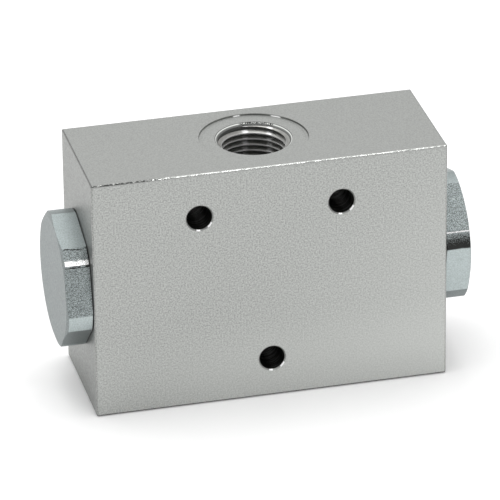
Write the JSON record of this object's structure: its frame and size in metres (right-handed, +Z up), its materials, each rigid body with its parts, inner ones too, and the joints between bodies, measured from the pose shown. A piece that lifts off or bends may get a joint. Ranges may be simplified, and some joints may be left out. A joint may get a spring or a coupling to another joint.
{
  "type": "hydraulic flow divider",
  "caption": "Block-shaped spool flow divider and combiner: threaded inlet on top, two equal outlets underneath, a hexagonal plug in each end and holes for mounting screws.",
  "frame": {"origin": "centre of the block's bottom face", "axes": "+X along the spools to the right, seen with the inlet on top; +Y to the back; +Z up out of the inlet"},
  "size_m": [0.1206, 0.04, 0.074],
  "materials": {
    "block": "ground steel, zinc plated, satin with a fine grain",
    "plug": "turned and sawn steel, zinc plated, bluish; speckled on the hexagon's flats",
    "spool": "hardened and ground steel",
    "jet": "turned brass",
    "spring": "oil-hardened spring wire",
    "washer": "punched steel",
    "seal": "black nitrile rubber",
    "backup": "white fluoropolymer"
  },
  "bodies": {
    "housing": {"valve_body": "block", "left_end_plug": "plug", "right_end_plug": "plug", "left_plug_oring": "seal", "right_plug_oring": "seal", "left_plug_backup_ring": "backup", "right_plug_backup_ring": "backup", "left_shim": "washer", "right_shim": "washer"},
    "left_spool_body": {"left_spool": "spool", "left_orifice_jet": "jet", "left_spring_seat": "washer", "left_centering_spring": "spring", "spread_spring": "spring"},
    "right_spool_body": {"right_spool": "spool", "right_orifice_jet": "jet", "right_spring_seat": "washer", "right_centering_spring": "spring"}
  },
  "joints": [
    {"name": "spool_shift", "type": "slide", "parent": "housing", "child": "left_spool_body", "axis": [1, 0, 0], "range_m": [-0.003, 0.003], "stiffness_N_per_m": 4000, "deforming": ["left_centering_spring", "right_centering_spring"]},
    {"name": "hook_play", "type": "slide", "parent": "left_spool_body", "child": "right_spool_body", "axis": [1, 0, 0], "range_m": [-0.002, 0], "stiffness_N_per_m": 1500, "springref_m": 0.004, "deforming": ["spread_spring"]}
  ]
}
